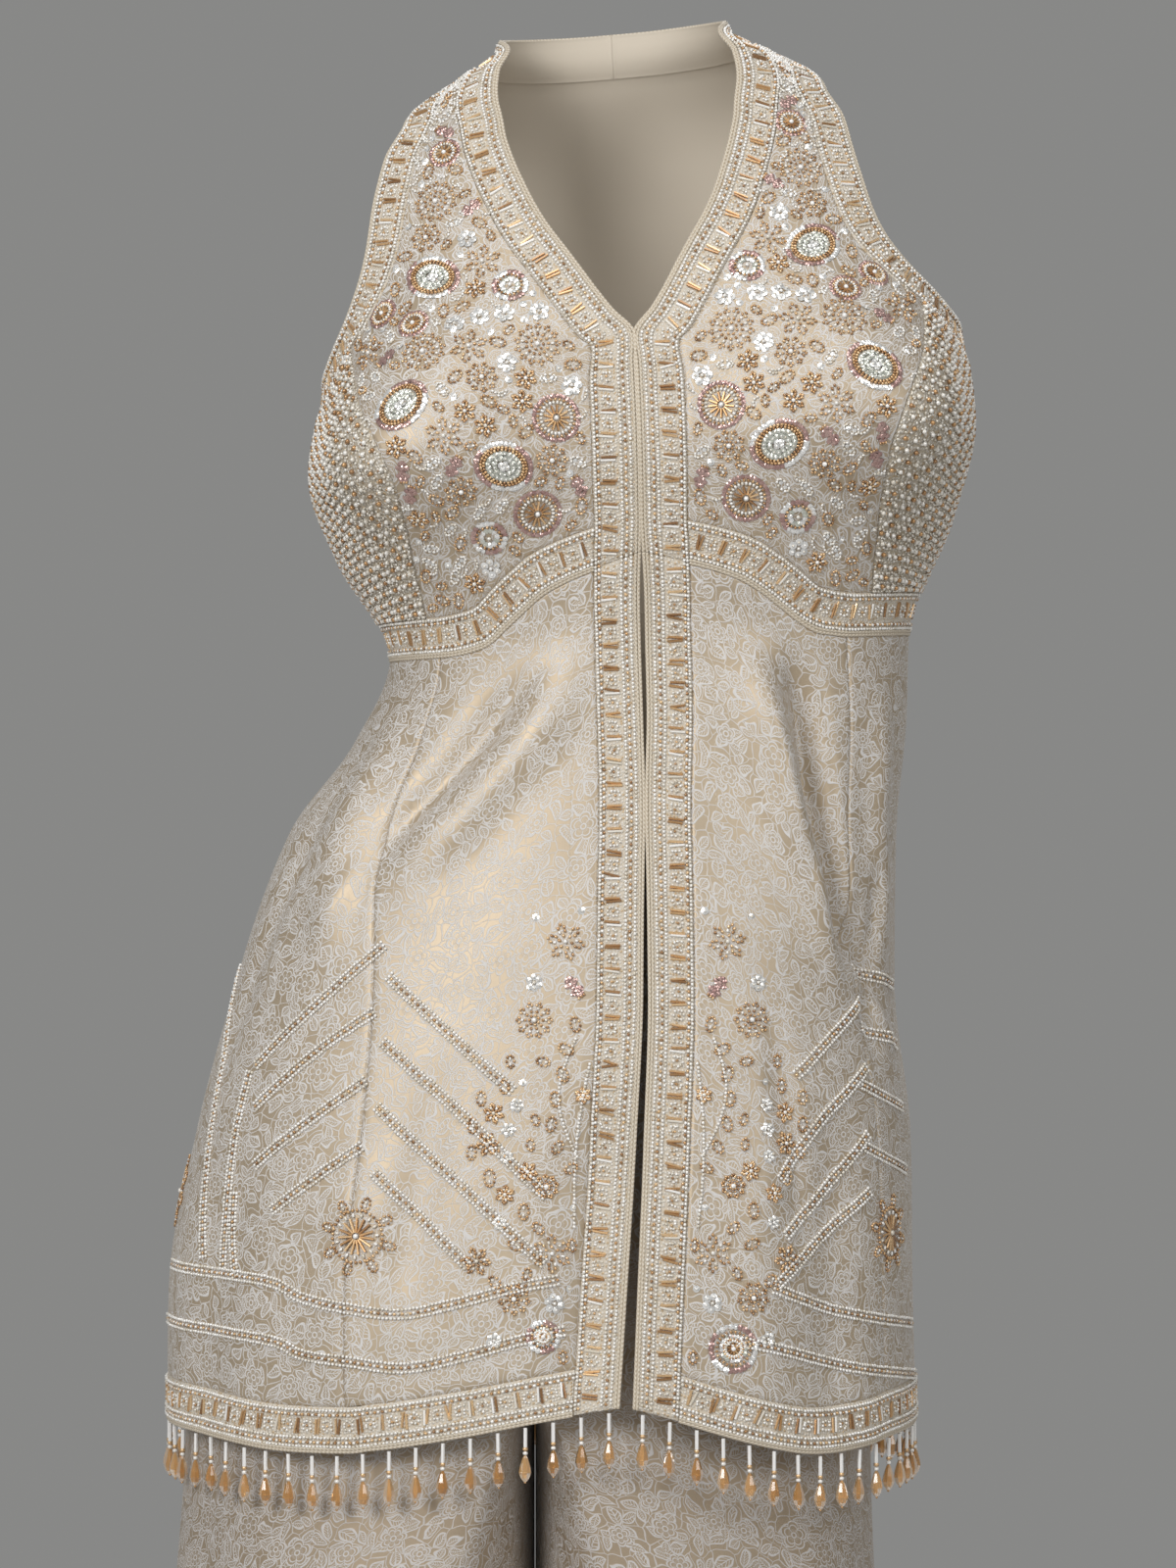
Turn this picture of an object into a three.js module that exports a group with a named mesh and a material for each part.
import * as THREE from "three";

// Palazzo suit: a halter tunic that opens down the front, over wide-legged trousers.
// Millimetres, +Z up. The front faces -Y, and left and right are as seen from the front. The origin
// is at the nape, on the inner edge of the halter neck, where the suit is held up.

// Cloth and seams
const TUNIC_CLOTH = 1.6;
const TROUSER_CLOTH = 1.4;
const SEAM_GAP = 0.4;
const BORDER = 22;
const ARM_BORDER = 20;
const UNDERBUST_BORDER = 20;
const HEM_BORDER = 22;
const ROUNDNESS = 2.25;
const POINTS_MERGED_PER_MM = 500;

// Colours of the cloth, from the pearl panels to the darkest strip
const PEARL = 0xf0e7d2;
const SIDE_BEIGE = 0xe4d6b8;
const CUP_BEIGE = 0xe2d3b4;
const BEIGE = 0xdccba6;
const BACK_BEIGE = 0xd6c49e;
const FRONT_BORDER_GOLD = 0xd8c49c;
const LOW_BORDER_GOLD = 0xd2bd92;
const ARM_BORDER_GOLD = 0xcdb88c;
const TROUSER_BACK_BEIGE = 0xcfbd97;
const PLACKET_BEIGE = 0xcbb992;
const DROP_AMBER = 0xc9904e;

// Outline of the tunic, a section a row, from the hem up. height is below the nape. left and right
// are half widths from spine, the line where the fronts meet. front, back and side are places
// along Y, and roll is the tilt of the section in degrees.
const TUNIC_COLUMNS = ["height", "left", "right", "front", "back", "side", "spine", "roll"];
const TUNIC_SECTIONS = [
  [-712, 231, 150, -214, 80, -70, 7, 0],
  [-635, 234, 144, -210, 74, -70, 11, 0],
  [-560, 224, 139, -202, 65, -70, 15, 0],
  [-485, 207, 128, -190, 50, -70, 18, 0],
  [-410, 180, 129, -176, 30, -70, 18, 0],
  [-360, 147, 134, -166, 18, -70, 18, 1.5],
  [-313, 128, 137, -161, 16, -70, 17, 3],
  [-260, 153, 159, -166, 24, -70, 16, 4],
  [-215, 166, 171, -169, 30, -70, 15, 5],
  [-170, 158, 167, -166, 34, -70, 13, 5],
  [-125, 156, 158, -153, 32, -68, 10, 5],
  [-90, 152, 152, -140, 28, -64, 8, 5],
  [-60, 138, 138, -127, 22, -60, 6, 5],
  [-40, 116, 116, -119, 16, -57, 5, 5],
  [-20, 84, 84, -113, 8, -55, 4, 5],
  [-5, 60, 60, -110, 2, -54, 3, 5],
  [14, 56, 56, -108, 3, -54, 2, 5],
];

// Cups, shaped by the darts and the curved seams
const CUP = { angle: 36, height: -212, out: 39, across: 50, above: 66, below: 46, round: 125 };

// Seam lines of the tunic on each side. angle is from the front, in degrees
const LINE_COLUMNS = ["angle", "height"];
const NECKLINE = [
  [180, 7], [135, 6], [95, 2], [62, -6], [42, -21], [27, -43], [19.2, -70],
  [13.2, -100], [8.4, -121], [4.8, -139], [2.4, -151],
];
const NECK_POINT = -162;

// Armhole, from the shoulder round the front to the side, and up the back again. left and right are
// degrees from the front
const ARMHOLE_COLUMNS = ["left", "right", "height"];
const ARMHOLE = [
  [84, 84, -25], [73, 69, -36], [63, 59, -45], [58, 53.5, -60], [55, 49.5, -82], [55.5, 50, -112],
  [59.5, 54.5, -133], [66, 62, -147], [77, 74, -159], [91, 91, -167], [107, 107, -169],
  [123, 123, -158], [134, 134, -127], [137, 137, -92], [130, 130, -61], [110, 110, -36], [84, 84, -25],
];
const ARMHOLE_SIDE_ROW = 9;

// Seam of the pearl panel, the line under the bust, and the hem
const PEARL_SEAM = [[37.5, -205], [36, -235], [43, -265], [52, -296]];
const UNDERBUST = [
  [0, -271], [4, -275.5], [9, -279.5], [17.5, -288], [27, -302], [36.7, -314], [48, -316.5],
  [90, -316], [180, -316],
];
const HEM = [
  [0, -686], [8, -692.5], [18, -701], [28, -707.5], [38, -711], [50, -710], [62, -707],
  [85, -706], [130, -711], [180, -713],
];

// How far each front edge stands from the middle of the opening
const OPENING_COLUMNS = ["height", "half"];
const OPENING = [
  [-720, 4.2], [-690, 3.8], [-560, 2.4], [-440, 1.3], [-395, 0.5], [-345, 1.6], [-285, 1.7],
  [-262, 0.4], [-160, 0.22],
];

// Side-front seam of the skirt, in degrees from the front, on the two sides
const SIDE_FRONT_COLUMNS = ["height", "left", "right"];
const SIDE_FRONT = [
  [-711, 33, 60], [-555, 35, 57], [-480, 38, 54], [-433, 42, 51], [-316, 50, 46],
];
const SIDE_SEAM = 92;

// Largest folds of the skirt. Each runs between two places and rises or sinks by depth
// along its length, and all of them start below the bust
const FOLD_RISES = [-0.12, 0.3];
const FOLD_ENDS = [0.75, 1.15];
const FOLDS_START = [4, 40];
const FOLD_COLUMNS = ["angle1", "height1", "angle2", "height2", "width", "depth"];
const FOLDS = [
  [-14, -318, -37, -432, 17, 5.5],
  [-26, -330, -45, -420, 13, -4.5],
  [-60, -345, -50, -470, 16, 4],
  [-33, -560, -34, -700, 22, 3],
  [-58, -570, -64, -712, 24, -4],
  [-3.5, -540, -3.5, -690, 11, -9],
  [16, -318, 46, -470, 14, 6.5],
  [30, -322, 51, -478, 10, -7],
  [60, -345, 66, -470, 13, 5],
  [53, -440, 60, -520, 9, -5],
  [40, -540, 42, -700, 24, -4],
  [20, -560, 24, -700, 22, 3],
  [118, -345, 128, -500, 22, 5],
  [140, -380, 150, -690, 26, -5],
  [172, -350, 168, -690, 24, 4],
  [-118, -345, -128, -520, 22, 5],
  [-145, -390, -152, -690, 26, -3.5],
  [-172, -420, -176, -700, 22, -4],
];

// Columns and rows of the pieces
const NECK_TO_SHOULDER = 6;
const SHOULDER_TO_POINT = 15;
const POINT_TO_UNDERBUST = 7;
const CUP_COLUMNS = 8;
const SIDE_COLUMNS = 5;
const BACK_COLUMNS = 8;
const PEARL_ROWS = 6;
const BACK_ARM_ROWS = 9;
const ROWS_ABOVE_POINT = 6;
const NECK_SAMPLES = 60;
const ARM_SAMPLES = 320;
const SHOULDER_ANGLE = 80;
const SKIRT_ROWS = 18;
const BORDER_COLUMNS = 2;

// Trousers: a section a row, from the floor up. outerLeft and outerRight run from the plane
// between the legs to the outer seams, and inner is the half width between the legs.
const LEG_COLUMNS = ["height", "outerLeft", "outerRight", "front", "back", "plane", "inner", "wave"];
const LEG_SECTIONS = [
  [-1425, 250, 246, -200, 62, -37, 119, 9],
  [-1300, 237, 232, -196, 59, -37, 111, 8],
  [-1100, 213, 208, -190, 55, -37, 96, 6],
  [-900, 191, 186, -189, 53, -37, 70, 3.5],
  [-785, 181, 174, -190, 54, -37, 44, 1.2],
  [-710, 178, 171, -190, 55, -37, 18, 0],
  [-668, 179, 174, -189, 56, -38, 0, 0],
  [-635, 179, 176, -187, 55, -38, 0, 0],
  [-560, 168.7, 174, -179, 47, -37, 0, 0],
  [-485, 150, 143, -168, 33, -26, 0, 0],
  [-450, 138, 134, -162, 24, -16, 0, 0],
  [-410, 122, 122, -153, 14, -4, 0, 0],
  [-370, 117, 118, -150, 10, 3, 0, 0],
];
const LEG_MIDDLE = -70;
const WAIST_TOP = -372;
const WAIST_SEAM = -410;
const CROTCH_START = -610;
const CROTCH = -668;
const TROUSER_HEM = -1425;
const LEG_WAVES = 5;
const LEG_ROUNDNESS = 2;
const LEG_WAVE_START = 12;
const LEG_SEAM_TURN = 0.1;
const WAIST_STEPS = 12;
const TROUSER_COLUMNS = 11;
const TROUSER_ROWS = [
  WAIST_SEAM, -448, -486, -523, -560, -590, CROTCH_START, -630, -648, -660, CROTCH, -700, -745,
  -800, -880, -980, -1090, -1200, -1310, TROUSER_HEM,
];

// Strip behind the upper fronts: half its width, its ends, its rows, and how far behind it lies
const PLACKET = { half: 7, top: -159, foot: -263, rows: 6, behind: 0.5 };

// Fringe of beaded drops. Each ring down a drop is how far it is below the strip, and its radius
const STRIP_HEIGHT = 3;
const DROP_SPACING = 13.5;
const DROP_ROOT = 1.7;
const FIRST_DROP = 4.5;
const FRINGE_END = 0.4;
const FRINGE_BELOW_HEM = SEAM_GAP + 0.3;
const TRACK_STEPS = 900;
const SQUARE_CORNER = 0.7;
const DROP = [[10.5, 1.5], [13.5, 0.7], [21.5, 3.4], [26.8, 0]];

const radians = THREE.MathUtils.degToRad;

function columnOf(columns, rows, name) {
  const place = columns.indexOf(name);
  return rows.map((row) => row[place]);
}

// Smooth curve through a column, with no swing past its rows
function curve(xs, ys) {
  if (xs[0] > xs[xs.length - 1]) {
    return curve([...xs].reverse(), [...ys].reverse());
  }
  const last = xs.length - 1;
  const step = xs.slice(1).map((x, i) => x - xs[i]);
  const slope = step.map((h, i) => (ys[i + 1] - ys[i]) / h);
  const tangent = xs.map((x, i) => {
    if (i === 0) return slope[0];
    if (i === last) return slope[last - 1];
    if (slope[i - 1] * slope[i] <= 0) return 0;
    const before = 2 * step[i] + step[i - 1];
    const after = step[i] + 2 * step[i - 1];
    return (before + after) / (before / slope[i - 1] + after / slope[i]);
  });
  return (x) => {
    const at = THREE.MathUtils.clamp(x, xs[0], xs[last]);
    let i = 0;
    while (i < last - 1 && at > xs[i + 1]) i += 1;
    const h = step[i];
    const t = (at - xs[i]) / h;
    const s = 1 - t;
    return ys[i] * s * s * (1 + 2 * t) + tangent[i] * h * t * s * s
      + ys[i + 1] * t * t * (3 - 2 * t) - tangent[i + 1] * h * t * t * s;
  };
}

function curves(columns, rows) {
  const xs = columnOf(columns, rows, columns[0]);
  const found = {};
  for (const name of columns.slice(1)) {
    found[name] = curve(xs, columnOf(columns, rows, name));
  }
  return found;
}

const tunic = curves(TUNIC_COLUMNS, TUNIC_SECTIONS);
const leg = curves(LEG_COLUMNS, LEG_SECTIONS);
const opening = curves(OPENING_COLUMNS, OPENING).half;
const sideFront = curves(SIDE_FRONT_COLUMNS, SIDE_FRONT);
const underbustLine = curves(LINE_COLUMNS, UNDERBUST).height;
const hemLine = curves(LINE_COLUMNS, HEM).height;

function power(value, exponent) {
  return Math.sign(value) * Math.abs(value) ** exponent;
}

// Smooth form of the tunic at an angle round the body and a height
function form(angle, height) {
  const sine = Math.sin(radians(angle));
  const cosine = Math.cos(radians(angle));
  const half = sine < 0 ? tunic.left(height) : tunic.right(height);
  const side = tunic.side(height);
  const depth = cosine > 0 ? tunic.front(height) - side : side - tunic.back(height);
  let x = half * power(sine, 2 / ROUNDNESS);
  let y = side + depth * power(cosine, 2 / ROUNDNESS);
  for (const middle of [-CUP.angle, CUP.angle]) {
    const around = radians(angle - middle) * CUP.round;
    const up = height - CUP.height;
    const tall = up > 0 ? CUP.above : CUP.below;
    const rise = CUP.out * Math.exp(-((around / CUP.across) ** 2) - (up / tall) ** 2);
    x += rise * sine;
    y -= rise * cosine;
  }
  const roll = radians(tunic.roll(height));
  return new THREE.Vector3(tunic.spine(height) + x * Math.cos(roll), y, height + x * Math.sin(roll));
}

// Outward direction of a surface at a place, from steps of reach to both sides
function outward(surface, across, down) {
  const reach = 0.4;
  const a = surface(across + reach, down).sub(surface(across - reach, down));
  const b = surface(across, down + reach).sub(surface(across, down - reach));
  return a.cross(b).normalize();
}

// Rise of the skirt's folds
function foldRise(angle, height) {
  let rise = 0;
  for (const row of FOLDS) {
    const fold = Object.fromEntries(FOLD_COLUMNS.map((name, i) => [name, row[i]]));
    const girth = (tunic.left(height) + tunic.right(height)) / 2;
    const alongX = radians(fold.angle2 - fold.angle1) * girth;
    const alongZ = fold.height2 - fold.height1;
    const x = radians(angle - fold.angle1) * girth;
    const z = height - fold.height1;
    const length = Math.hypot(alongX, alongZ);
    const t = (x * alongX + z * alongZ) / length ** 2;
    const off = (x * alongZ - z * alongX) / length;
    const rises = THREE.MathUtils.smoothstep(t, FOLD_RISES[0], FOLD_RISES[1]);
    const fade = rises * (1 - THREE.MathUtils.smoothstep(t, FOLD_ENDS[0], FOLD_ENDS[1]));
    rise += fold.depth * fade * Math.exp(-((off / fold.width) ** 2));
  }
  const below = underbustLine(Math.abs(angle)) - height;
  return rise * THREE.MathUtils.smoothstep(below, FOLDS_START[0], FOLDS_START[1]);
}

function tunicCloth(angle, height, out) {
  return form(angle, height).addScaledVector(outward(form, angle, height), foldRise(angle, height) + out);
}

// Closed solid made of faces, with shared points merged
class Solid {
  constructor() {
    this.points = [];
    this.known = new Map();
    this.faces = [];
  }

  point(p) {
    const key = [p.x, p.y, p.z].map((value) => Math.round(value * POINTS_MERGED_PER_MM)).join(" ");
    if (!this.known.has(key)) {
      this.known.set(key, this.points.length);
      this.points.push(p);
    }
    return this.known.get(key);
  }

  triangle(a, b, c) {
    const [i, j, k] = [this.point(a), this.point(b), this.point(c)];
    if (i !== j && j !== k && k !== i) this.faces.push([i, j, k]);
  }

  quad(a, b, c, d) {
    this.triangle(a, b, c);
    this.triangle(a, c, d);
  }

  mesh(name, material) {
    let volume = 0;
    for (const [i, j, k] of this.faces) {
      volume += this.points[i].dot(new THREE.Vector3().crossVectors(this.points[j], this.points[k]));
    }
    const index = this.faces.flatMap(([i, j, k]) => (volume < 0 ? [i, k, j] : [i, j, k]));
    const geometry = new THREE.BufferGeometry();
    const places = this.points.flatMap((p) => [p.x, p.y, p.z]);
    geometry.setAttribute("position", new THREE.Float32BufferAttribute(places, 3));
    geometry.setIndex(index);
    const mesh = new THREE.Mesh(geometry, material);
    mesh.name = name;
    return mesh;
  }
}

// A wall of cloth between an outer and an inner grid of points
function wall(outer, inner) {
  const solid = new Solid();
  const rows = outer.length - 1;
  const columns = outer[0].length - 1;
  for (let r = 0; r < rows; r += 1) {
    for (let c = 0; c < columns; c += 1) {
      solid.quad(outer[r][c], outer[r][c + 1], outer[r + 1][c + 1], outer[r + 1][c]);
      solid.quad(inner[r][c], inner[r + 1][c], inner[r + 1][c + 1], inner[r][c + 1]);
    }
  }
  for (let c = 0; c < columns; c += 1) {
    solid.quad(outer[0][c + 1], outer[0][c], inner[0][c], inner[0][c + 1]);
    solid.quad(outer[rows][c], outer[rows][c + 1], inner[rows][c + 1], inner[rows][c]);
  }
  for (let r = 0; r < rows; r += 1) {
    solid.quad(outer[r][0], outer[r + 1][0], inner[r + 1][0], inner[r][0]);
    solid.quad(outer[r + 1][columns], outer[r][columns], inner[r][columns], inner[r + 1][columns]);
  }
  return solid;
}

function between(a, b, t) {
  return [a[0] + (b[0] - a[0]) * t, a[1] + (b[1] - a[1]) * t];
}

// Fills a piece between its four edges. Each edge is a list of [angle, height]
function fill(top, bottom, left, right) {
  const columns = top.length - 1;
  const rows = left.length - 1;
  const grid = [];
  for (let r = 0; r <= rows; r += 1) {
    const v = r / rows;
    const line = [];
    for (let c = 0; c <= columns; c += 1) {
      const u = c / columns;
      const upright = between(top[c], bottom[c], v);
      const level = between(left[r], right[r], u);
      const corners = between(between(top[0], top[columns], u), between(bottom[0], bottom[columns], u), v);
      line.push([upright[0] + level[0] - corners[0], upright[1] + level[1] - corners[1]]);
    }
    grid.push(line);
  }
  return grid;
}

// Draws the outline of a piece in by half the gap of a seam, with mitred corners
function drawIn(grid, gap) {
  const rows = grid.length - 1;
  const columns = grid[0].length - 1;
  const loop = [
    ...evenly(columns, 0, columns).slice(0, -1).map((c) => [0, c]),
    ...evenly(rows, 0, rows).slice(0, -1).map((r) => [r, columns]),
    ...evenly(columns, columns, 0).slice(0, -1).map((c) => [rows, c]),
    ...evenly(rows, rows, 0).slice(0, -1).map((r) => [r, 0]),
  ];
  const at = (i) => {
    const [r, c] = loop[(i + loop.length) % loop.length];
    return grid[r][c];
  };
  const apart = (i, step) => {
    let j = i + step;
    while (form(...at(j)).distanceTo(form(...at(i))) < gap) j += step;
    return at(j);
  };
  const lower = Math.round(rows / 2);
  const inwards = form(...grid[lower][columns - 1]).sub(form(...grid[lower][columns]));
  const test = shifted(grid[lower][columns], grid[lower - 1][columns], grid[lower + 1]?.[columns], gap, 1);
  const side = form(...test).sub(form(...grid[lower][columns])).dot(inwards) > 0 ? 1 : -1;
  const moved = grid.map((line) => line.map((place) => [...place]));
  loop.forEach(([r, c], i) => {
    moved[r][c] = shifted(grid[r][c], apart(i, -1), apart(i, 1), gap / 2, side);
  });
  const tip = form(...grid[0][0]).distanceTo(form(...grid[0][columns])) < gap;
  if (tip) moved[0].fill(moved[0][0]);
  return moved;
}

function tunicPiece(name, grid, material, depth = 0) {
  const cut = drawIn(grid, SEAM_GAP);
  const outer = cut.map((line) => line.map(([a, h]) => tunicCloth(a, h, -depth)));
  const inner = cut.map((line) => line.map(([a, h]) => tunicCloth(a, h, -depth - TUNIC_CLOTH)));
  return wall(outer, inner).mesh(name, material);
}

function cloth(color) {
  return new THREE.MeshStandardMaterial({ color, roughness: 0.55, metalness: 0 });
}

// Angle at which the form stands off the opening's middle by a distance
function angleAt(offset, height) {
  const half = offset < 0 ? tunic.left(height) : tunic.right(height);
  const sine = (Math.abs(offset) / half) ** (ROUNDNESS / 2);
  return Math.sign(offset) * THREE.MathUtils.radToDeg(Math.asin(sine));
}

function splineOf(rows, side) {
  return new THREE.SplineCurve(rows.map(([angle, height]) => new THREE.Vector2(side * angle, height)));
}

function places(points) {
  return points.map((p) => [p.x, p.y]);
}

// Moves a place sideways over the form by a width, square to the lines from the place before and
// to the place after it
function shifted(place, before, after, width, side) {
  const here = form(...place);
  const normal = outward(form, ...place);
  const sideways = [];
  if (before) sideways.push(here.clone().sub(form(...before)).cross(normal).normalize());
  if (after) sideways.push(form(...after).sub(here).cross(normal).normalize());
  const first = sideways[0];
  const second = sideways[sideways.length - 1];
  const mitre = Math.max(0.5, 1 + first.dot(second));
  const shift = first.clone().add(second).multiplyScalar((side * width) / mitre);
  const perAngle = form(place[0] + 0.5, place[1]).sub(form(place[0] - 0.5, place[1]));
  const perHeight = form(place[0], place[1] + 0.5).sub(form(place[0], place[1] - 0.5));
  const aa = perAngle.dot(perAngle);
  const ab = perAngle.dot(perHeight);
  const bb = perHeight.dot(perHeight);
  const sa = shift.dot(perAngle);
  const sb = shift.dot(perHeight);
  const spread = aa * bb - ab * ab;
  return [place[0] + (sa * bb - sb * ab) / spread, place[1] + (sb * aa - sa * ab) / spread];
}

// A line beside another one, reached in short steps so that it follows the form
function inset(line, width, side) {
  const steps = 6;
  let moved = line;
  for (let step = 0; step < steps; step += 1) {
    const from = moved;
    moved = from.map((place, i) => shifted(place, from[i - 1], from[i + 1], width / steps, side));
  }
  return moved;
}

function evenly(count, from, to) {
  return Array.from({ length: count + 1 }, (_, i) => from + ((to - from) * i) / count);
}

function frontEdge(side, height) {
  return [angleAt(side * opening(height), height), height];
}

function frontBorderSeam(side, height) {
  return [angleAt(side * (opening(height) + BORDER), height), height];
}

function underbust(angle) {
  return [angle, underbustLine(Math.abs(angle))];
}

function underbustTop(angle) {
  return [angle, underbustLine(Math.abs(angle)) + UNDERBUST_BORDER];
}

function hem(angle, above) {
  return [angle, hemLine(Math.abs(angle)) + above];
}

// Height at which the search for a meeting place starts, and its rounds
const MEET_START = -400;
const MEET_ROUNDS = 12;

// Where an upright seam, given as an angle for each height, meets a line across the body
function meet(seamAngle, line) {
  let angle = seamAngle(MEET_START);
  for (let i = 0; i < MEET_ROUNDS; i += 1) {
    angle = seamAngle(line(angle)[1]);
  }
  return line(angle);
}

function uprightSeam(seamAngle, top, bottom) {
  return evenly(SKIRT_ROWS, top[1], bottom[1]).map((height, i) => {
    if (i === 0) return top;
    if (i === SKIRT_ROWS) return bottom;
    return [seamAngle(height), height];
  });
}

function across(line, from, to, count) {
  return evenly(count, from, to).map((angle) => line(angle));
}

// Places over the width of a border
function widthwise(a, b) {
  return evenly(BORDER_COLUMNS, 0, 1).map((t) => between(a, b, t));
}

// Pieces of the upper tunic on one side
function bodice(side, name) {
  const pieces = [];
  const neck = splineOf(NECKLINE, side);
  const shoulderRow = NECK_TO_SHOULDER;
  const neckTop = places(neck.getSpacedPoints(NECK_SAMPLES));
  const shoulderAt = neckTop.findIndex(([angle]) => Math.abs(angle) < SHOULDER_ANGLE) / NECK_SAMPLES;
  const back = evenly(NECK_TO_SHOULDER, 0, shoulderAt).map((t) => neck.getPointAt(t));
  const front = evenly(SHOULDER_TO_POINT, shoulderAt, 1).slice(1).map((t) => neck.getPointAt(t));
  const pointRow = shoulderRow + SHOULDER_TO_POINT + 1;
  const neckEdge = [...places(back), ...places(front), frontEdge(side, NECK_POINT)];
  neckEdge[0] = [side * 180, NECKLINE[0][1]];
  const endHeight = underbustLine(2);
  for (const height of evenly(POINT_TO_UNDERBUST, NECK_POINT, endHeight).slice(1)) {
    neckEdge.push(frontEdge(side, height));
  }
  const neckSeam = inset(neckEdge, BORDER, -side);
  neckSeam[0][0] = side * 180;
  const lastRow = neckEdge.length - 1;
  const cupFoot = meet((h) => frontBorderSeam(side, h)[0], underbustTop);
  const middleFoot = meet((h) => frontBorderSeam(side, h)[0], underbust);
  const corner = meet((h) => frontEdge(side, h)[0], underbust);
  neckEdge[lastRow] = corner;
  neckSeam[lastRow] = middleFoot;
  neckSeam[lastRow - 1] = cupFoot;
  for (let row = pointRow + 1; row < lastRow - 1; row += 1) {
    const share = (row - pointRow) / (lastRow - 1 - pointRow);
    const height = neckSeam[pointRow][1] + (cupFoot[1] - neckSeam[pointRow][1]) * share;
    neckSeam[row] = frontBorderSeam(side, height);
  }
  const neckEnd = widthwise(neckEdge[0], neckSeam[0]);
  const neckFoot = widthwise(neckEdge[lastRow], neckSeam[lastRow]);
  const neckGrid = fill(neckEnd, neckFoot, neckEdge, neckSeam);
  pieces.push(tunicPiece(`neck_border_${name}`, neckGrid, cloth(FRONT_BORDER_GOLD)));

  // Armhole, from the shoulder round the front to the side and round the back
  const armAngles = columnOf(ARMHOLE_COLUMNS, ARMHOLE, name);
  const armHeights = columnOf(ARMHOLE_COLUMNS, ARMHOLE, "height");
  const arm = splineOf(armAngles.map((angle, i) => [angle, armHeights[i]]), side);
  const armPoints = places(arm.getPoints(ARM_SAMPLES));
  const sideAt = Math.round((ARMHOLE_SIDE_ROW / (ARMHOLE.length - 1)) * ARM_SAMPLES);
  const frontArm = armPoints.slice(0, sideAt + 1);
  const nearest = (place, from) => {
    const here = form(...place);
    let best = from;
    for (let i = from; i <= sideAt; i += 1) {
      if (form(...frontArm[i]).distanceTo(here) < form(...frontArm[best]).distanceTo(here)) best = i;
    }
    return best;
  };
  const armEdge = [frontArm[0]];
  const armSeam = [neckSeam[shoulderRow]];
  let tipRow = shoulderRow;
  let at = 0;
  while (tipRow < pointRow - ROWS_ABOVE_POINT) {
    tipRow += 1;
    at = nearest(neckSeam[tipRow], at + 1);
    armEdge.push(frontArm[at]);
    armSeam.push(neckSeam[tipRow]);
    if (form(...frontArm[at]).distanceTo(form(...neckSeam[tipRow])) > ARM_BORDER) break;
  }
  const tipCount = armEdge.length - 1;
  const cupRows = lastRow - 1 - tipRow;
  const armRows = cupRows - PEARL_ROWS;
  const lowerRows = armRows + SIDE_COLUMNS;
  const lowerEdge = evenly(lowerRows, at, sideAt).map((i) => frontArm[Math.round(i)]);
  lowerEdge[lowerRows] = frontArm[sideAt];
  const lowerSeam = inset(lowerEdge, ARM_BORDER, side);
  lowerSeam[lowerRows][0] = side * SIDE_SEAM;
  lowerEdge[lowerRows][0] = side * SIDE_SEAM;
  armEdge.push(...lowerEdge.slice(1));
  armSeam.push(...lowerSeam.slice(1));
  const armTop = widthwise(armSeam[0], armEdge[0]);
  const lastArm = armEdge.length - 1;
  const armFoot = widthwise(armSeam[lastArm], armEdge[lastArm]);
  const armGrid = fill(armTop, armFoot, armSeam, armEdge);
  pieces.push(tunicPiece(`armhole_border_${name}`, armGrid, cloth(ARM_BORDER_GOLD)));

  // Cup, between the borders and the curved seam of the pearl panel
  const pearlTop = armSeam[tipCount + armRows];
  const pearlFoot = underbustTop(side * PEARL_SEAM[PEARL_SEAM.length - 1][0]);
  const pearlCurve = new THREE.SplineCurve([
    new THREE.Vector2(...pearlTop),
    ...PEARL_SEAM.slice(0, -1).map(([angle, height]) => new THREE.Vector2(side * angle, height)),
    new THREE.Vector2(...pearlFoot),
  ]);
  const pearlSeam = places(pearlCurve.getSpacedPoints(PEARL_ROWS));
  const cupOuter = [...armSeam.slice(tipCount, tipCount + armRows), ...pearlSeam];
  const cupInner = neckSeam.slice(tipRow, lastRow);
  const cupTop = Array(CUP_COLUMNS + 1).fill(armSeam[tipCount]);
  const cupBottom = across(underbustTop, cupFoot[0], pearlFoot[0], CUP_COLUMNS);
  const cupGrid = fill(cupTop, cupBottom, cupInner, cupOuter);
  pieces.push(tunicPiece(`cup_${name}`, cupGrid, cloth(CUP_BEIGE)));

  // Pearl panel, from the cup to the side seam
  const sideTop = armSeam.slice(tipCount + armRows);
  const sideBottom = across(underbustTop, pearlFoot[0], side * SIDE_SEAM, SIDE_COLUMNS);
  const sideSeamLine = evenly(PEARL_ROWS, armSeam[lastArm][1], sideBottom[SIDE_COLUMNS][1])
    .map((height) => [side * SIDE_SEAM, height]);
  const pearlGrid = fill(sideTop, sideBottom, pearlSeam, sideSeamLine);
  pieces.push(tunicPiece(`pearl_panel_${name}`, pearlGrid, cloth(PEARL)));

  // Border under the bust, from the front border round to the middle of the back
  const topLine = [...cupBottom, ...sideBottom.slice(1),
    ...across(underbustTop, side * SIDE_SEAM, side * 180, BACK_COLUMNS).slice(1)];
  const split = meet((h) => side * sideFront[name](h), underbust);
  const skirtTop = [...across(underbust, middleFoot[0], split[0], CUP_COLUMNS),
    ...across(underbust, split[0], side * SIDE_SEAM, SIDE_COLUMNS).slice(1),
    ...across(underbust, side * SIDE_SEAM, side * 180, BACK_COLUMNS).slice(1)];
  const last = topLine.length - 1;
  pieces.push(tunicPiece(`underbust_border_${name}`,
    fill(topLine, skirtTop, [topLine[0], skirtTop[0]], [topLine[last], skirtTop[last]]), cloth(LOW_BORDER_GOLD)));

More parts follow.
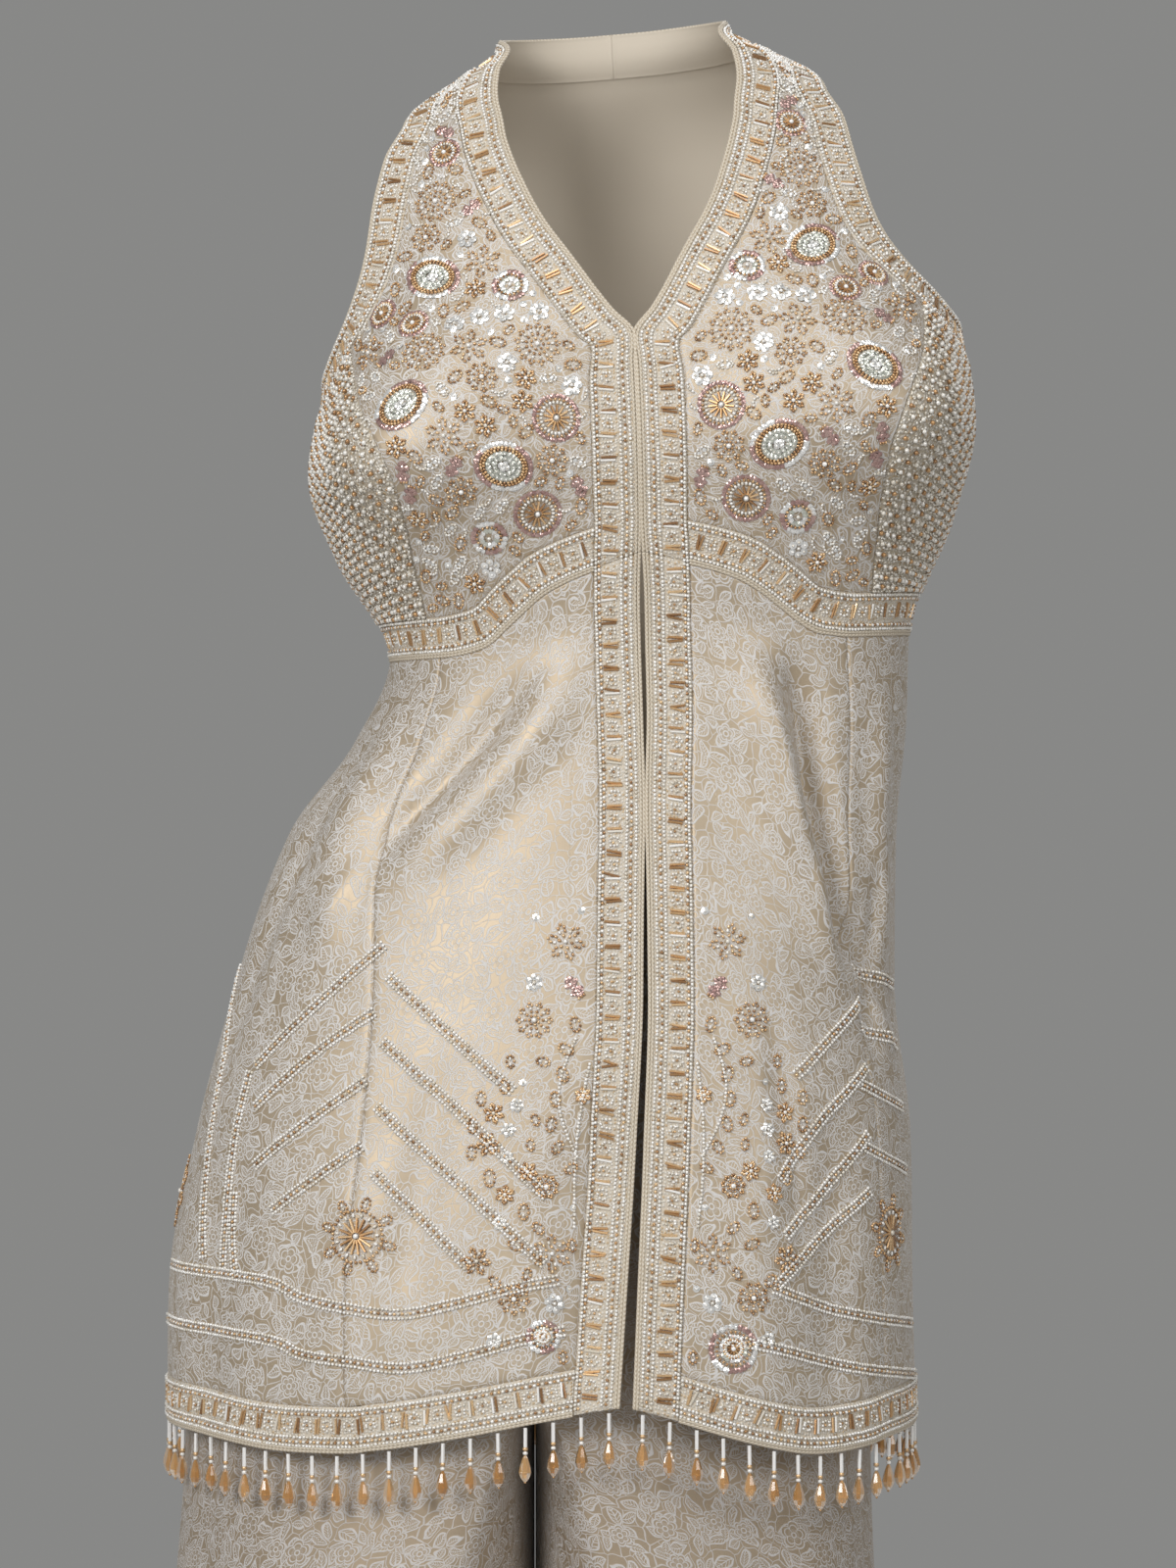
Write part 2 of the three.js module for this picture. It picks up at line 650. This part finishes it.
  // Half outline of the back: its neck edge, its armhole with the side, and its lower edge
  const backArm = armPoints.slice(sideAt);
  const backArmLine = evenly(BACK_ARM_ROWS, 0, backArm.length - 1).map((i) => backArm[Math.round(i)]);
  backArmLine[0] = [side * SIDE_SEAM, lowerEdge[lowerRows][1]];
  const backSide = [...evenly(PEARL_ROWS, sideBottom[SIDE_COLUMNS][1], armSeam[lastArm][1])
    .map((height) => [side * SIDE_SEAM, height]), between(armSeam[lastArm], backArmLine[0], 0.5), ...backArmLine];
  const backNeck = [backArmLine[BACK_ARM_ROWS], between(backArmLine[BACK_ARM_ROWS], neckSeam[shoulderRow], 0.5),
    ...neckSeam.slice(0, shoulderRow + 1).reverse()];
  const backFoot = topLine.slice(CUP_COLUMNS + SIDE_COLUMNS);
  return { pieces, skirtTop, corner, backSide, backNeck, backFoot };
}

function backPiece(left, right) {
  const top = [...left.backNeck, ...[...right.backNeck].reverse().slice(1)]
    .map(([angle, height]) => [angle > 0 ? angle - 360 : angle, height]);
  const foot = [...left.backFoot, ...[...right.backFoot].reverse().slice(1)]
    .map(([angle, height]) => [angle > 0 ? angle - 360 : angle, height]);
  const rightSide = [...right.backSide].reverse().map(([angle, height]) => [angle - 360, height]);
  const leftSide = [...left.backSide].reverse();
  return tunicPiece("bodice_back", fill(top, foot, leftSide, rightSide), cloth(BEIGE));
}

// Pieces of the skirt on one side
function skirt(side, name, upper) {
  const pieces = [];
  const edge = (h) => frontEdge(side, h)[0];
  const borderSeam = (h) => frontBorderSeam(side, h)[0];
  const seam = (h) => side * sideFront[name](h);
  const sideSeam = () => side * SIDE_SEAM;
  const hemTop = (angle) => hem(angle, HEM_BORDER);
  const hemFoot = (angle) => hem(angle, 0);
  const top = upper.skirtTop;
  const borderLine = uprightSeam(borderSeam, top[0], meet(borderSeam, hemTop));
  const seamLine = uprightSeam(seam, top[CUP_COLUMNS], meet(seam, hemTop));
  const sideLine = uprightSeam(sideSeam, top[CUP_COLUMNS + SIDE_COLUMNS], meet(sideSeam, hemTop));
  const foot = [...across(hemTop, borderLine[SKIRT_ROWS][0], seamLine[SKIRT_ROWS][0], CUP_COLUMNS),
    ...across(hemTop, seamLine[SKIRT_ROWS][0], side * SIDE_SEAM, SIDE_COLUMNS).slice(1),
    ...across(hemTop, side * SIDE_SEAM, side * 180, BACK_COLUMNS).slice(1)];

  const borderEnd = meet(borderSeam, hemFoot);
  const borderOuter = [...borderLine, borderEnd];
  const edgeTop = upper.corner;
  const edgeFoot = meet(edge, hemFoot);
  const edgeLine = evenly(SKIRT_ROWS, edgeTop[1], edgeFoot[1] + HEM_BORDER).map((height) => [edge(height), height]);
  edgeLine[0] = edgeTop;
  edgeLine.push(edgeFoot);
  const frontGrid = fill(widthwise(edgeTop, borderOuter[0]), widthwise(edgeFoot, borderEnd), edgeLine, borderOuter);
  pieces.push(tunicPiece(`front_border_${name}`, frontGrid, cloth(FRONT_BORDER_GOLD)));
  const turn = CUP_COLUMNS + SIDE_COLUMNS;
  pieces.push(tunicPiece(`skirt_front_${name}`, fill(top.slice(0, CUP_COLUMNS + 1),
    foot.slice(0, CUP_COLUMNS + 1), borderLine, seamLine), cloth(BEIGE)));
  pieces.push(tunicPiece(`skirt_side_${name}`, fill(top.slice(CUP_COLUMNS, turn + 1),
    foot.slice(CUP_COLUMNS, turn + 1), seamLine, sideLine), cloth(SIDE_BEIGE)));
  const hemBottom = foot.map(([angle]) => hemFoot(angle));
  hemBottom[0] = borderEnd;
  const last = foot.length - 1;
  pieces.push(tunicPiece(`hem_border_${name}`, fill(foot, hemBottom, [foot[0], borderEnd],
    [foot[last], hemBottom[last]]), cloth(LOW_BORDER_GOLD)));
  pieces.push(fringe(side, name, edgeFoot[0]));
  return { pieces, top: top.slice(turn), foot: foot.slice(turn), sideLine };
}

function skirtBack(left, right) {
  const join = (key) => [...left[key], ...[...right[key]].reverse().slice(1)]
    .map(([angle, height]) => [angle > 0 ? angle - 360 : angle, height]);
  const rightSide = right.sideLine.map(([angle, height]) => [angle - 360, height]);
  return tunicPiece("skirt_back", fill(join("top"), join("foot"), left.sideLine, rightSide), cloth(BACK_BEIGE));
}

// Fringe on one side: a narrow strip under the hem with beaded drops, each grown out of it
function fringe(side, name, edgeAngle) {
  const solid = new Solid();
  const track = evenly(TRACK_STEPS, edgeAngle, side * 180).map((angle) => {
    const height = hemLine(Math.abs(angle)) - FRINGE_BELOW_HEM;
    return { angle, height, place: tunicCloth(angle, height, 0) };
  });
  let length = 0;
  track.forEach((point, i) => {
    if (i > 0) length += point.place.distanceTo(track[i - 1].place);
    point.run = length;
  });
  const atRun = (run) => {
    const i = Math.max(1, track.findIndex((point) => point.run >= run));
    const t = (run - track[i - 1].run) / (track[i].run - track[i - 1].run);
    return between([track[i - 1].angle, track[i - 1].height], [track[i].angle, track[i].height], t);
  };
  const count = Math.floor((length - 2 * FIRST_DROP) / DROP_SPACING);
  const stations = [FRINGE_END];
  for (let i = 0; i <= count; i += 1) {
    const middle = FIRST_DROP + ((length - 2 * FIRST_DROP) * i) / count;
    stations.push(middle - DROP_ROOT / 2, middle + DROP_ROOT / 2);
  }
  stations.push(length - FRINGE_END);
  const corner = stations.map((run) => {
    const [angle, height] = atRun(run);
    const at = (below, out) => {
      const p = tunicCloth(angle, height, out);
      p.z -= below;
      return p;
    };
    return { outTop: at(0, 0), inTop: at(0, -TUNIC_CLOTH), outLow: at(STRIP_HEIGHT, 0),
      inLow: at(STRIP_HEIGHT, -TUNIC_CLOTH) };
  });
  for (let i = 0; i < corner.length - 1; i += 1) {
    const a = corner[i];
    const b = corner[i + 1];
    solid.quad(a.outTop, b.outTop, b.outLow, a.outLow);
    solid.quad(a.inTop, a.inLow, b.inLow, b.inTop);
    solid.quad(a.outTop, a.inTop, b.inTop, b.outTop);
    const hasDrop = i % 2 === 1;
    if (!hasDrop) {
      solid.quad(a.outLow, b.outLow, b.inLow, a.inLow);
      continue;
    }
    let ring = [a.outLow, b.outLow, b.inLow, a.inLow];
    const middle = ring.reduce((sum, p) => sum.add(p), new THREE.Vector3()).divideScalar(4);
    const along = b.outLow.clone().sub(a.outLow).setZ(0).normalize();
    const off = a.outLow.clone().sub(a.inLow).setZ(0).normalize();
    for (const [below, radius] of DROP) {
      const shift = (s, o) => middle.clone().addScaledVector(along, s * radius).addScaledVector(off, o * radius)
        .add(new THREE.Vector3(0, 0, -below));
      const turns = [[-1, 1], [1, 1], [1, -1], [-1, -1]];
      const next = turns.map(([s, o]) => shift(s * SQUARE_CORNER, o * SQUARE_CORNER));
      for (let k = 0; k < 4; k += 1) {
        const after = (k + 1) % 4;
        solid.quad(ring[k], ring[after], next[after], next[k]);
      }
      ring = next;
    }
  }
  const first = corner[0];
  const final = corner[corner.length - 1];
  solid.quad(first.outTop, first.outLow, first.inLow, first.inTop);
  solid.quad(final.outTop, final.inTop, final.inLow, final.outLow);
  const glass = new THREE.MeshStandardMaterial({ color: DROP_AMBER, roughness: 0.15, metalness: 0 });
  return solid.mesh(`fringe_${name}`, glass);
}

// Narrow strip with the hooks, behind the edges of the upper fronts
function placket() {
  const { half, top, foot, rows, behind } = PLACKET;
  const heights = evenly(rows, top, foot);
  const line = (offset) => heights.map((height) => [angleAt(offset, height), height]);
  const end = (height) => [-half, 0, half].map((offset) => [angleAt(offset, height), height]);
  const grid = fill(end(top), end(foot), line(-half), line(half));
  return tunicPiece("hook_placket", grid, cloth(PLACKET_BEIGE), TUNIC_CLOTH + behind);
}

// Surface of one trouser leg. turn is 0 at the front, -90 between the legs and 90 at the outer seam
function legForm(side, turn, height) {
  const outer = side < 0 ? leg.outerLeft(height) : leg.outerRight(height);
  const inner = leg.inner(height);
  const sine = Math.sin(radians(turn));
  const cosine = Math.cos(radians(turn));
  const centre = SEAM_GAP / 2 + inner;
  const half = sine < 0 ? inner : outer - centre;
  const depth = cosine > 0 ? leg.front(height) - LEG_MIDDLE : LEG_MIDDLE - leg.back(height);
  const swell = (leg.wave(height) / 100) * THREE.MathUtils.smoothstep(sine, -1, -0.2);
  const wave = 1 + swell * Math.cos(radians(LEG_WAVES * (turn + LEG_WAVE_START * side)));
  const x = centre + half * power(sine, 2 / LEG_ROUNDNESS) * wave;
  const y = LEG_MIDDLE + depth * power(cosine, 2 / LEG_ROUNDNESS) * wave;
  return new THREE.Vector3(leg.plane(height) + side * x, y, height);
}

function legCloth(side, turn, height, out) {
  const normal = outward((t, h) => legForm(side, t, h), turn, height).multiplyScalar(side);
  if (leg.inner(height) === 0) normal.setZ(0).normalize();
  return legForm(side, turn, height).addScaledVector(normal, out);
}

// Turn of the seam in the middle, which runs down the front or back and under to the crotch
function middleTurn(height) {
  return -90 * THREE.MathUtils.smoothstep(-height, -CROTCH_START, -CROTCH);
}

function trouserPiece(side, name, isBack) {
  const rows = TROUSER_ROWS.map((height, r) => {
    const at = height + (r === 0 ? -SEAM_GAP / 2 : 0);
    const middle = middleTurn(height);
    const inner = middle < -0.5 ? middle + LEG_SEAM_TURN : middle;
    const turns = evenly(TROUSER_COLUMNS, inner, 90 - LEG_SEAM_TURN);
    return turns.map((turn) => ({ turn: isBack ? 180 - turn : turn, at }));
  });
  const outer = rows.map((row) => row.map(({ turn, at }) => legCloth(side, turn, at, 0)));
  const inner = rows.map((row) => row.map(({ turn, at }) => legCloth(side, turn, at, -TROUSER_CLOTH)));
  return wall(outer, inner).mesh(name, cloth(isBack ? TROUSER_BACK_BEIGE : BEIGE));
}

function waistband() {
  const solid = new Solid();
  const turns = [];
  for (const side of [1, -1]) {
    for (const turn of evenly(WAIST_STEPS, 0, 180)) turns.push({ side, turn: side > 0 ? turn : 180 - turn });
  }
  const levels = [WAIST_SEAM + SEAM_GAP / 2, WAIST_TOP];
  const ring = (height, out) => turns.map(({ side, turn }) => legCloth(side, turn, height, out));
  const outer = levels.map((height) => ring(height, 0));
  const inner = levels.map((height) => ring(height, -TROUSER_CLOTH));
  const count = turns.length;
  for (let i = 0; i < count; i += 1) {
    const j = (i + 1) % count;
    solid.quad(outer[0][i], outer[0][j], outer[1][j], outer[1][i]);
    solid.quad(inner[0][i], inner[1][i], inner[1][j], inner[0][j]);
    solid.quad(outer[1][i], outer[1][j], inner[1][j], inner[1][i]);
    solid.quad(outer[0][i], inner[0][i], inner[0][j], outer[0][j]);
  }
  return solid.mesh("waistband", cloth(LOW_BORDER_GOLD));
}

const suit = new THREE.Group();
const upperLeft = bodice(-1, "left");
const upperRight = bodice(1, "right");
const lowerLeft = skirt(-1, "left", upperLeft);
const lowerRight = skirt(1, "right", upperRight);
suit.add(...upperLeft.pieces, ...upperRight.pieces, backPiece(upperLeft, upperRight), placket());
suit.add(...lowerLeft.pieces, ...lowerRight.pieces, skirtBack(lowerLeft, lowerRight));
for (const [side, name] of [[-1, "left"], [1, "right"]]) {
  suit.add(trouserPiece(side, `trouser_front_${name}`, false), trouserPiece(side, `trouser_back_${name}`, true));
}
suit.add(waistband());

export default suit;
